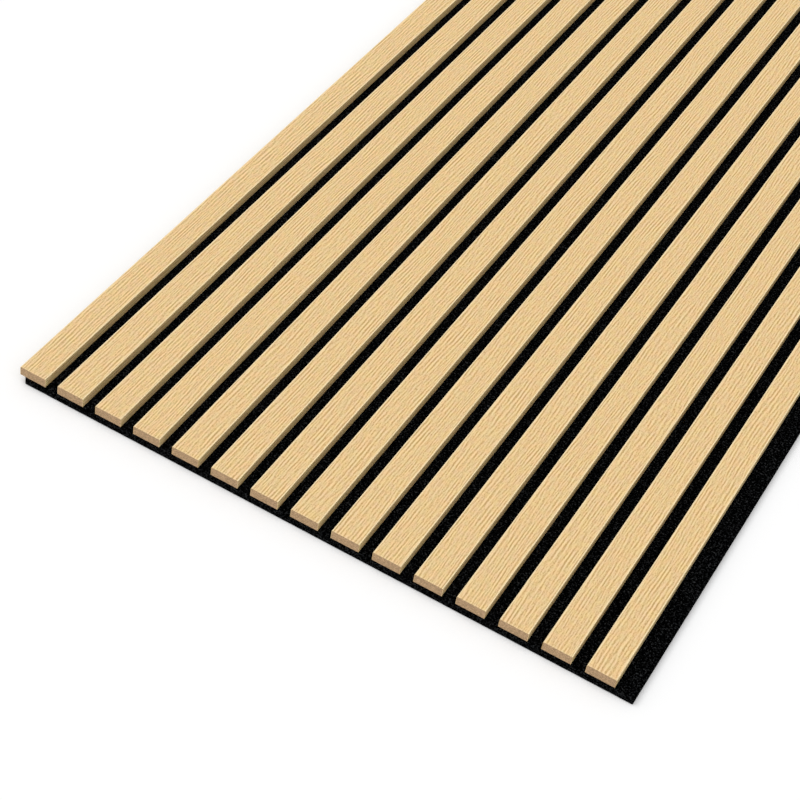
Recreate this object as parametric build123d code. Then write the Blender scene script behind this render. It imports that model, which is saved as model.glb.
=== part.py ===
from build123d import *
import os

# Slatted acoustic wall panel: a row of veneered slats glued along a pressed felt board.
# Millimetres. The origin is the centre of the felt's back face. +X runs across the slats,
# +Y runs along them, and +Z points away from the wall, out through the slat faces.

# Driving dimensions
panel_length = 2400.0  # slats and felt are trimmed together
slat_count = 15
slat_width = 27.0  # finished width, over the veneer
slat_gap = 13.0  # bare felt between two slats
core_thickness = 9.0  # fibreboard that the slats are ripped from
core_arris = 0.3  # rounding of a core's front corners, so that the veneer can turn them
veneer_thickness = 0.3
felt_thickness = 9.0
slat_overhang = 5.0  # reach of the first slat past the felt, over the next panel's margin

# Sizes that follow
core_width = slat_width - 2 * veneer_thickness
slat_thickness = core_thickness + veneer_thickness
veneer_arris = core_arris + veneer_thickness
slat_pitch = slat_width + slat_gap
felt_width = slat_count * slat_pitch  # whole pitches, so the rhythm runs on to the next panel
first_slat_x = -felt_width / 2 - slat_overhang + slat_width / 2


def along_panel(section):
    """The full-length solid of a section that is drawn across the panel."""
    return extrude(Plane.XZ * section, panel_length / 2, both=True)


def bar_section(width, thickness, arris):
    """A bar that stands on the felt at X = 0, with its two front corners rounded."""
    bar = Pos(0, felt_thickness + thickness / 2) * Rectangle(width, thickness)
    front_corners = bar.vertices().group_by(Axis.Y)[-1]
    return fillet(front_corners, arris)


def make_felt():
    """Pressed felt board. Its right margin stays bare for the next panel's first slat."""
    return along_panel(Pos(0, felt_thickness / 2) * Rectangle(felt_width, felt_thickness))


def make_core():
    """Fibreboard bar of one slat, bare at its sawn ends and underneath."""
    return along_panel(bar_section(core_width, core_thickness, core_arris))


def make_veneer():
    """One sheet of veneer, wrapped down both sides of a core and glued over its face."""
    outside = bar_section(slat_width, slat_thickness, veneer_arris)
    return along_panel(outside - bar_section(core_width, core_thickness, core_arris))


os.makedirs("parts", exist_ok=True)
export_step(make_felt(), "parts/felt_backing.step")

core = make_core()
veneer = make_veneer()
for index in range(slat_count):
    seat = Pos(first_slat_x + index * slat_pitch, 0, 0)
    export_step(seat * core, f"parts/slat_core_{index + 1:02d}.step")
    export_step(seat * veneer, f"parts/slat_veneer_{index + 1:02d}.step")
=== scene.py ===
import math

import bmesh
import bpy
from mathutils import Matrix, Vector, noise


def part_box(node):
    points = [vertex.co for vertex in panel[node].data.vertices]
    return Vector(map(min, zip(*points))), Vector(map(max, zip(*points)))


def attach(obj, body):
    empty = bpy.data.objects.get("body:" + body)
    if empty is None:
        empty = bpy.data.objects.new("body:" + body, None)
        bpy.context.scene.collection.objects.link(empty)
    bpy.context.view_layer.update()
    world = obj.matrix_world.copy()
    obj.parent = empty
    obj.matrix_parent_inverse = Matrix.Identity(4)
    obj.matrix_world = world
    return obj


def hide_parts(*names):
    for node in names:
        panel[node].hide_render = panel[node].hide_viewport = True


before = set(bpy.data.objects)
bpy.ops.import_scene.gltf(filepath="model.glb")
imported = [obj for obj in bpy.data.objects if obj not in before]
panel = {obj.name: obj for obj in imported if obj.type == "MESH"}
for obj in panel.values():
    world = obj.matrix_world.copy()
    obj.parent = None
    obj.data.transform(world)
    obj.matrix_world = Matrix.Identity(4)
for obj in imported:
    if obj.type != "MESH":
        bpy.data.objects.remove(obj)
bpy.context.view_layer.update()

scene = bpy.context.scene
slatNumbers = sorted(name[-2:] for name in panel if name.startswith("slat_core_"))
print("panel loaded:", len(panel), "nodes,", len(slatNumbers), "slats")


# Node helpers

def addNode(tree, kind, inputs=None, **settings):
    node = tree.nodes.new(kind)
    for key, value in settings.items():
        setattr(node, key, value)
    for key, value in (inputs or {}).items():
        if isinstance(value, bpy.types.NodeSocket):
            tree.links.new(value, node.inputs[key])
        else:
            node.inputs[key].default_value = value
    return node


def calc(tree, operation, a, b=0.0, clamp=False):
    return addNode(tree, "ShaderNodeMath", {0: a, 1: b}, operation=operation, use_clamp=clamp).outputs[0]


def blendColours(tree, factor, a, b, how="MIX"):
    inputs = {0: factor, 6: a, 7: b}  # 6 and 7 are the colour sockets, and 2 the colour output
    return addNode(tree, "ShaderNodeMix", inputs, data_type="RGBA", blend_type=how).outputs[2]


def ramp(tree, value, low, high):  # smooth 0 to 1 between two values
    inputs = {"Value": value, "From Min": low, "From Max": high}
    return addNode(tree, "ShaderNodeMapRange", inputs, interpolation_type="SMOOTHSTEP").outputs[0]


def emboss(tree, shader, height, relief):  # relief in metres
    bump = addNode(tree, "ShaderNodeBump", {"Strength": 1.0, "Distance": relief, "Height": height})
    tree.links.new(bump.outputs[0], shader.inputs["Normal"])


def seenRays(tree):  # 1 for what the camera, gloss and glass see, 0 for light that falls on matt surfaces
    path = addNode(tree, "ShaderNodeLightPath").outputs
    seen = calc(tree, "ADD", path["Is Camera Ray"], path["Is Glossy Ray"])
    return calc(tree, "ADD", seen, path["Is Transmission Ray"], clamp=True)


def newMaterial(name):
    material = bpy.data.materials.new(name)
    material.use_nodes = True
    tree = material.node_tree
    return material, tree, tree.nodes["Principled BSDF"]


# Grain field, shared by the veneer, the sawn board and the felt

def makeGrainField():
    group = bpy.data.node_groups.new("grainField", "ShaderNodeTree")
    for name, kind in (
        ("Place", "NodeSocketVector"),
        ("Size", "NodeSocketVector"),
        ("Seed", "NodeSocketFloat"),
        ("Detail", "NodeSocketFloat"),
        ("Roughness", "NodeSocketFloat"),
    ):
        group.interface.new_socket(name, in_out="INPUT", socket_type=kind)
    group.interface.new_socket("Value", in_out="OUTPUT", socket_type="NodeSocketFloat")
    given = addNode(group, "NodeGroupInput").outputs
    inputs = {0: given["Place"], 1: given["Size"]}
    sized = addNode(group, "ShaderNodeVectorMath", inputs, operation="DIVIDE").outputs[0]
    inputs = {0: sized, 1: given["Seed"]}
    moved = addNode(group, "ShaderNodeVectorMath", inputs, operation="ADD").outputs[0]
    inputs = {"Vector": moved, "Scale": 1.0, "Detail": given["Detail"], "Roughness": given["Roughness"]}
    texture = addNode(group, "ShaderNodeTexNoise", inputs)
    addNode(group, "NodeGroupOutput", {"Value": texture.outputs[0]})
    return group


grainField = makeGrainField()


# size: metres of one feature in X, Y and Z
def grain(tree, place, size, seed, detail=0.0, roughness=0.5):
    inputs = {"Place": place, "Size": size, "Seed": seed, "Detail": detail, "Roughness": roughness}
    return addNode(tree, "ShaderNodeGroup", inputs, node_tree=grainField).outputs[0]


def centredGrain(tree, place, layer):  # runs about 0 instead of 0.5
    return calc(tree, "SUBTRACT", grain(tree, place, **layer), 0.5)


# Oak veneer, wrapped over the slat faces and down their sides

oakLook = {
    "pale": (0.954, 0.697, 0.373, 1.0),
    "deep": (0.729, 0.491, 0.217, 1.0),
    "pore": (0.450, 0.280, 0.095, 1.0),
    "edge": (0.980, 0.800, 0.500, 1.0),  # painted highlight: the edges of the face painted paler
    "paintedSideLight": (0.93, 1.0, 1.03, 1.0),  # painted light: the sides are tinted cooler, offsetting the warm light bounced between the slats
    "paintedSideFrom": (0.35, 0.80),  # how far a face turns sideways before it takes that painted light
    "warmth": ((0.982, 1.0, 1.047, 1.0), (1.020, 1.0, 0.954, 1.0)),  # patches of cooler and warmer wood
    "blush": ((0.988, 1.023, 0.988, 1.0), (1.012, 0.977, 1.012, 1.0)),  # greener and pinker
    "warmthGrain": {"size": (0.0055, 0.0085, 1.0), "seed": 5.2, "detail": 1.0},
    "blushGrain": {"size": (0.0050, 0.0070, 1.0), "seed": 71.6, "detail": 1.0},
    "tintSpread": (0.3, 0.7),  # values of their grain that show as the first tint and as the second
    "sweep": {"size": (0.030, 0.130, 1.0), "seed": 2.4},  # the fibres stray from straight
    "sweepReach": 0.0075,  # metres
    "short": {"size": (0.00120, 0.0090, 1.0), "seed": 11.3},
    "long": {"size": (0.00130, 0.050, 1.0), "seed": 52.8},
    "streakHalf": 0.0013,  # metres from the middle of a streak to its neighbours
    "shortShare": 1.0,
    "longShare": 0.90,
    "lineSpacing": 0.0032,  # metres between growth lines
    "lineFade": {"size": (0.013, 0.045, 1.0), "seed": 8.1},
    "lineShare": 2.35,
    "fine": {"size": (0.00032, 0.010, 1.0), "seed": 27.9, "detail": 1.0},
    "fineShare": 0.80,
    "tone": (-0.40, 1.20),  # values of the summed grain that show as deep and as pale
    "pores": {"size": (0.00030, 0.0026, 1.0), "seed": 41.1, "detail": 1.0},
    "poreSpread": (0.56, 0.64),  # values of their grain at which a pore starts and is whole
    "poreGather": 0.26,  # how much more of them the dark streaks hold
    "poreDepth": 0.65,
    "highlightWidth": (0.0009, 0.0015),  # metres from an edge, where the painted highlight is whole and where it ends
    "highlightDown": (0.0, 0.0003),  # likewise, down the sides
    "highlightShare": 0.8,
    "highlightEnds": 0.2,  # share of that painted highlight at the sawn ends
    "relief": 0.00004,
    "roughness": (0.68, 0.52),  # in the pores and between them
    "specular": 0.25,
}
slatLow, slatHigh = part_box("slat_veneer_" + slatNumbers[0])
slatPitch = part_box("slat_veneer_" + slatNumbers[1])[0].x - slatLow.x


def unrolled(tree, at, facing, look):  # the veneer laid flat: X runs on down the slat's sides
    down = calc(tree, "MULTIPLY", calc(tree, "SUBTRACT", slatHigh.z, at["Z"]), calc(tree, "SIGN", facing))
    across = calc(tree, "ADD", at["X"], down)
    straight = addNode(tree, "ShaderNodeCombineXYZ", {"X": across, "Y": at["Y"]}).outputs[0]
    stray = centredGrain(tree, straight, look["sweep"])
    across = calc(tree, "ADD", across, calc(tree, "MULTIPLY", stray, look["sweepReach"]))
    return addNode(tree, "ShaderNodeCombineXYZ", {"X": across, "Y": at["Y"]}).outputs[0], across


def streaks(tree, flat, half, layer):  # grain less the mean of its neighbours to both sides
    sides = []
    for step in (-half, half):
        moved = addNode(tree, "ShaderNodeVectorMath", {0: flat, 1: (step, 0.0, 0.0)}, operation="ADD")
        sides.append(grain(tree, moved.outputs[0], **layer))
    mean = calc(tree, "MULTIPLY", calc(tree, "ADD", *sides), 0.5)
    return calc(tree, "SUBTRACT", grain(tree, flat, **layer), mean)


def growthLines(tree, flat, across, look):  # evenly spaced lines that fade in and out
    wave = calc(tree, "SINE", calc(tree, "MULTIPLY", across, math.tau / look["lineSpacing"]))
    return calc(tree, "MULTIPLY", wave, centredGrain(tree, flat, look["lineFade"]))


def edgeHighlightMask(tree, at, look):  # painted highlight, paler near the long edges and the ends of a slat's face
    whole, gone = look["highlightWidth"]
    half = (slatHigh.x - slatLow.x) / 2
    onSlat = calc(tree, "MODULO", calc(tree, "SUBTRACT", at["X"], slatLow.x), slatPitch)
    offMiddle = calc(tree, "ABSOLUTE", calc(tree, "SUBTRACT", onSlat, half))
    sides = ramp(tree, offMiddle, half - gone, half - whole)
    ends = ramp(tree, calc(tree, "ABSOLUTE", at["Y"]), slatHigh.y - gone, slatHigh.y - whole)
    ends = calc(tree, "MULTIPLY", ends, look["highlightEnds"])
    downWhole, downGone = look["highlightDown"]
    face = ramp(tree, at["Z"], slatHigh.z - downGone, slatHigh.z - downWhole)
    return calc(tree, "MULTIPLY", calc(tree, "MAXIMUM", sides, ends), face)


def makeOak():
    look = oakLook
    material, tree, shader = newMaterial("oakVeneer")
    coords = addNode(tree, "ShaderNodeTexCoord").outputs
    at = addNode(tree, "ShaderNodeSeparateXYZ", {0: coords["Object"]}).outputs
    facing = addNode(tree, "ShaderNodeSeparateXYZ", {0: coords["Normal"]}).outputs["X"]
    flat, across = unrolled(tree, at, facing, look)
    streak = 0.0
    for share, layer in (
        ("shortShare", streaks(tree, flat, look["streakHalf"], look["short"])),
        ("longShare", streaks(tree, flat, look["streakHalf"], look["long"])),
        ("lineShare", growthLines(tree, flat, across, look)),
    ):
        streak = calc(tree, "ADD", streak, calc(tree, "MULTIPLY", layer, look[share]))
    fine = calc(tree, "MULTIPLY", grain(tree, flat, **look["fine"]), look["fineShare"])
    tone = ramp(tree, calc(tree, "ADD", streak, fine), *look["tone"])
    wood = blendColours(tree, tone, look["deep"], look["pale"])
    gather = calc(tree, "MULTIPLY", streak, look["poreGather"])
    pores = calc(tree, "SUBTRACT", grain(tree, flat, **look["pores"]), gather)
    pores = ramp(tree, pores, *look["poreSpread"])
    wood = blendColours(tree, calc(tree, "MULTIPLY", pores, look["poreDepth"]), wood, look["pore"])
    for tint in ("warmth", "blush"):
        patches = ramp(tree, grain(tree, flat, **look[tint + "Grain"]), *look["tintSpread"])
        wood = blendColours(tree, 1.0, wood, blendColours(tree, patches, *look[tint]), "MULTIPLY")
    # painted light: the slat sides get a cooler tint
    paintedSideMask = ramp(tree, calc(tree, "ABSOLUTE", facing), *look["paintedSideFrom"])
    wood = blendColours(tree, paintedSideMask, wood, look["paintedSideLight"], "MULTIPLY")
    # painted highlight: paler wood along the edges of the face, where light would catch
    paintedHighlight = calc(tree, "MULTIPLY", edgeHighlightMask(tree, at, look), look["highlightShare"])
    wood = blendColours(tree, paintedHighlight, wood, look["edge"])
    tree.links.new(wood, shader.inputs["Base Color"])
    inPores, between = look["roughness"]
    shine = addNode(tree, "ShaderNodeMapRange", {"Value": pores, "To Min": between, "To Max": inPores})
    tree.links.new(shine.outputs[0], shader.inputs["Roughness"])
    emboss(tree, shader, calc(tree, "SUBTRACT", 1.0, pores), look["relief"])
    shader.inputs["Specular IOR Level"].default_value = look["specular"]
    return material


# Sawn fibreboard at the slat ends and underneath

boardLook = {
    "pale": (0.70, 0.466, 0.266, 1.0),
    "deep": (0.36, 0.236, 0.132, 1.0),
    "fibres": {"size": (0.0016, 0.0016, 0.0008), "seed": 7.3, "detail": 3.0, "roughness": 0.6},
    "flecks": {"size": (0.0007, 0.0007, 0.0005), "seed": 19.7, "detail": 2.0, "roughness": 0.6},
    "tone": (0.76, 1.24),  # values of the summed grain that show as deep and as pale
    "relief": 0.00005,
    "roughness": 0.85,
    "specular": 0.15,
}


def makeBoard():
    look = boardLook
    material, tree, shader = newMaterial("sawnBoard")
    place = addNode(tree, "ShaderNodeTexCoord").outputs["Object"]
    fibres = grain(tree, place, **look["fibres"])
    flecks = grain(tree, place, **look["flecks"])
    tone = ramp(tree, calc(tree, "ADD", fibres, flecks), *look["tone"])
    tree.links.new(blendColours(tree, tone, look["deep"], look["pale"]), shader.inputs["Base Color"])
    emboss(tree, shader, tone, look["relief"])
    shader.inputs["Roughness"].default_value = look["roughness"]
    shader.inputs["Specular IOR Level"].default_value = look["specular"]
    return material


# Black needled felt

feltLook = {
    "ground": (0.0004, 0.0004, 0.00045, 1.0),
    "fibre": (0.0395, 0.0415, 0.0440, 1.0),
    "curls": (
        {"size": (0.0030, 0.0030, 0.0030), "seed": 13.0, "detail": 1.5, "roughness": 0.55},
        {"size": (0.0021, 0.0021, 0.0021), "seed": 22.7, "detail": 1.5, "roughness": 0.55},
    ),
    "curlWidth": 0.034,  # how far the curls' grain may be from its middle and still be fibre
    "patches": {"size": (0.0018, 0.0018, 0.0018), "seed": 31.9, "detail": 1.0},
    "patchSpread": (0.46, 0.62),  # where fibre starts to show, and where it shows whole
    "cutFacing": (0.6, 0.4),  # how upright a face is where the flat felt ends and the cut edge starts
    "cutLift": 0.07,  # more fibre shows on the cut edges
    "relief": 0.00025,
    "roughness": 1.0,
    "specular": 0.0,
}


def makeFelt():
    look = feltLook
    material, tree, shader = newMaterial("needledFelt")
    coords = addNode(tree, "ShaderNodeTexCoord").outputs
    fibres = None
    for curl in look["curls"]:
        offLine = calc(tree, "ABSOLUTE", centredGrain(tree, coords["Object"], curl))
        line = calc(tree, "SUBTRACT", 1.0, ramp(tree, offLine, 0.0, look["curlWidth"]))
        fibres = line if fibres is None else calc(tree, "MAXIMUM", fibres, line)
    facing = addNode(tree, "ShaderNodeSeparateXYZ", {0: coords["Normal"]}).outputs["Z"]
    cut = ramp(tree, calc(tree, "ABSOLUTE", facing), *look["cutFacing"])
    patches = grain(tree, coords["Object"], **look["patches"])
    patches = calc(tree, "ADD", patches, calc(tree, "MULTIPLY", cut, look["cutLift"]))
    shown = calc(tree, "MULTIPLY", fibres, ramp(tree, patches, *look["patchSpread"]))
    tree.links.new(blendColours(tree, shown, look["ground"], look["fibre"]), shader.inputs["Base Color"])
    emboss(tree, shader, fibres, look["relief"])
    shader.inputs["Roughness"].default_value = look["roughness"]
    shader.inputs["Specular IOR Level"].default_value = look["specular"]
    return material


oakVeneer = makeOak()
sawnBoard = makeBoard()
needledFelt = makeFelt()
for number in slatNumbers:  # the slats keep their meshes
    panel["slat_veneer_" + number].material_slots[0].material = oakVeneer
    panel["slat_core_" + number].material_slots[0].material = sawnBoard
print("finishes set on", 2 * len(slatNumbers), "slat pieces")


# Felt board: the same slab, with the soft and slightly uneven edges that a blade leaves

feltShape = {
    "rounding": 0.0008,  # metres
    "roundingSteps": 3,
    "edgePoints": 400,  # along each cut edge
    "waver": 0.00020,  # how far a cut edge strays from straight
    "waverSize": 0.016,
    "flatFrom": 0.999,  # faces squarer than this to an axis shade flat
}


def makeFeltBoard():
    shape = feltShape
    low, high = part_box("felt_backing")
    middle = (low + high) / 2
    bm = bmesh.new()
    bmesh.ops.create_cube(bm, size=1.0)
    bmesh.ops.scale(bm, verts=bm.verts, vec=high - low)
    bmesh.ops.translate(bm, verts=bm.verts, vec=middle)
    bmesh.ops.bevel(
        bm,
        geom=bm.edges[:],
        affect="EDGES",
        offset=shape["rounding"],
        segments=shape["roundingSteps"],
        profile=0.5,
        material=-1,
    )
    nearEdge = 2 * shape["rounding"]  # points this close to a cut edge stray with it
    longEdges = [edge for edge in bm.edges if edge.calc_length() > high.z - low.z]
    bmesh.ops.subdivide_edges(bm, edges=longEdges, cuts=shape["edgePoints"])
    for vert in bm.verts:
        stray = abs(noise.noise(vert.co / shape["waverSize"])) * shape["waver"]
        for axis in (0, 1):
            if min(vert.co[axis] - low[axis], high[axis] - vert.co[axis]) < nearEdge:
                vert.co[axis] -= math.copysign(stray, vert.co[axis] - middle[axis])
    mesh = bpy.data.meshes.new("feltBoard")
    bm.to_mesh(mesh)
    bm.free()
    mesh.materials.append(needledFelt)
    for face in mesh.polygons:
        face.use_smooth = max(abs(part) for part in face.normal) < shape["flatFrom"]
    board = bpy.data.objects.new("feltBoard", mesh)
    scene.collection.objects.link(board)
    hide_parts("felt_backing")
    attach(board, "root")
    return len(mesh.polygons)


print("felt board cut:", makeFeltBoard(), "faces")


# Floor

floorLook = {
    "reach": 60.0,  # metres out from the panel
    "drop": 0.0003,  # below the panel's back
    "underPanel": 0.006,  # the floor is open under the panel, this far in from its edges
    "albedo": (0.93, 0.93, 0.93, 1.0),
    "lift": 0.10,  # brings the lit floor to white
}


def makeFloor():
    look = floorLook
    low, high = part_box("felt_backing")
    middle = (low + high) / 2
    around = 2 * (look["reach"] - look["underPanel"])
    bm = bmesh.new()
    bmesh.ops.create_grid(bm, x_segments=1, y_segments=1, size=0.5)
    bmesh.ops.scale(bm, verts=bm.verts, vec=(high.x - low.x + around, high.y - low.y + around, 1.0))
    bmesh.ops.translate(bm, verts=bm.verts, vec=(middle.x, middle.y, low.z - look["drop"]))
    opening = bm.faces[:]
    bmesh.ops.inset_individual(bm, faces=opening, thickness=look["reach"], use_even_offset=True)
    bmesh.ops.delete(bm, geom=opening, context="FACES_ONLY")
    mesh = bpy.data.meshes.new("floor")
    bm.to_mesh(mesh)
    bm.free()
    material, tree, shader = newMaterial("paleFloor")
    tree.nodes.remove(shader)
    matt = addNode(tree, "ShaderNodeBsdfDiffuse", {"Color": look["albedo"]})
    lift = calc(tree, "MULTIPLY", seenRays(tree), look["lift"])
    glow = addNode(tree, "ShaderNodeEmission", {"Strength": lift})
    lit = addNode(tree, "ShaderNodeAddShader", {0: matt.outputs[0], 1: glow.outputs[0]})
    under = addNode(tree, "ShaderNodeNewGeometry").outputs["Backfacing"]  # seen through from below
    clear = addNode(tree, "ShaderNodeBsdfTransparent")
    surface = addNode(tree, "ShaderNodeMixShader", {0: under, 1: lit.outputs[0], 2: clear.outputs[0]})
    tree.links.new(surface.outputs[0], tree.nodes["Material Output"].inputs["Surface"])
    mesh.materials.append(material)
    floor = bpy.data.objects.new("floor", mesh)
    scene.collection.objects.link(floor)


makeFloor()
print("floor laid")


# Light

lightPlan = {
    "white": (1.0, 1.0, 1.0, 1.0),
    "sky": 0.46,  # strength of the light from all around
    "background": 1.0,  # strength that is seen, white
    "softness": 50.0,  # degrees across each lamp
    "key": ((-0.22, -0.14, 0.965), 1.45),  # where it comes from, and its strength
    "fill": ((0.60, -0.25, 0.76), 0.33),
}


def makeLight():
    plan = lightPlan
    world = bpy.data.worlds.new("studio")
    scene.world = world
    world.use_nodes = True
    tree = world.node_tree
    tree.nodes.clear()
    inputs = {"Value": seenRays(tree), "To Min": plan["sky"], "To Max": plan["background"]}
    level = addNode(tree, "ShaderNodeMapRange", inputs).outputs[0]
    white = addNode(tree, "ShaderNodeBackground", {"Color": plan["white"], "Strength": level})
    addNode(tree, "ShaderNodeOutputWorld", {"Surface": white.outputs[0]})
    for name in ("key", "fill"):
        comesFrom, strength = plan[name]
        data = bpy.data.lights.new(name, "SUN")
        data.energy = strength
        data.angle = math.radians(plan["softness"])
        lamp = bpy.data.objects.new(name, data)
        lamp.rotation_euler = Vector(comesFrom).to_track_quat("Z", "Y").to_euler()
        scene.collection.objects.link(lamp)


makeLight()
print("light set")


# Camera, where the photograph was taken from

cameraPlan = {
    "place": (0.4644, -2.2143, 1.2718),  # metres
    "azimuth": 22.06,  # degrees
    "elevation": 44.48,
    "roll": 10.74,
    "lens": 90.18,  # millimetres
    "sensor": 36.0,
}


def makeCamera():
    plan = cameraPlan
    data = bpy.data.cameras.new("camera")
    data.lens = plan["lens"]
    data.sensor_width = plan["sensor"]
    camera = bpy.data.objects.new("camera", data)
    scene.collection.objects.link(camera)
    turn = Matrix.Rotation(math.radians(plan["azimuth"]), 4, "Z")
    tilt = Matrix.Rotation(math.radians(90.0 - plan["elevation"]), 4, "X")
    roll = Matrix.Rotation(math.radians(plan["roll"]), 4, "Z")
    camera.matrix_world = Matrix.Translation(plan["place"]) @ turn @ tilt @ roll
    scene.camera = camera


makeCamera()
scene.view_settings.view_transform = "Standard"
print("camera set")
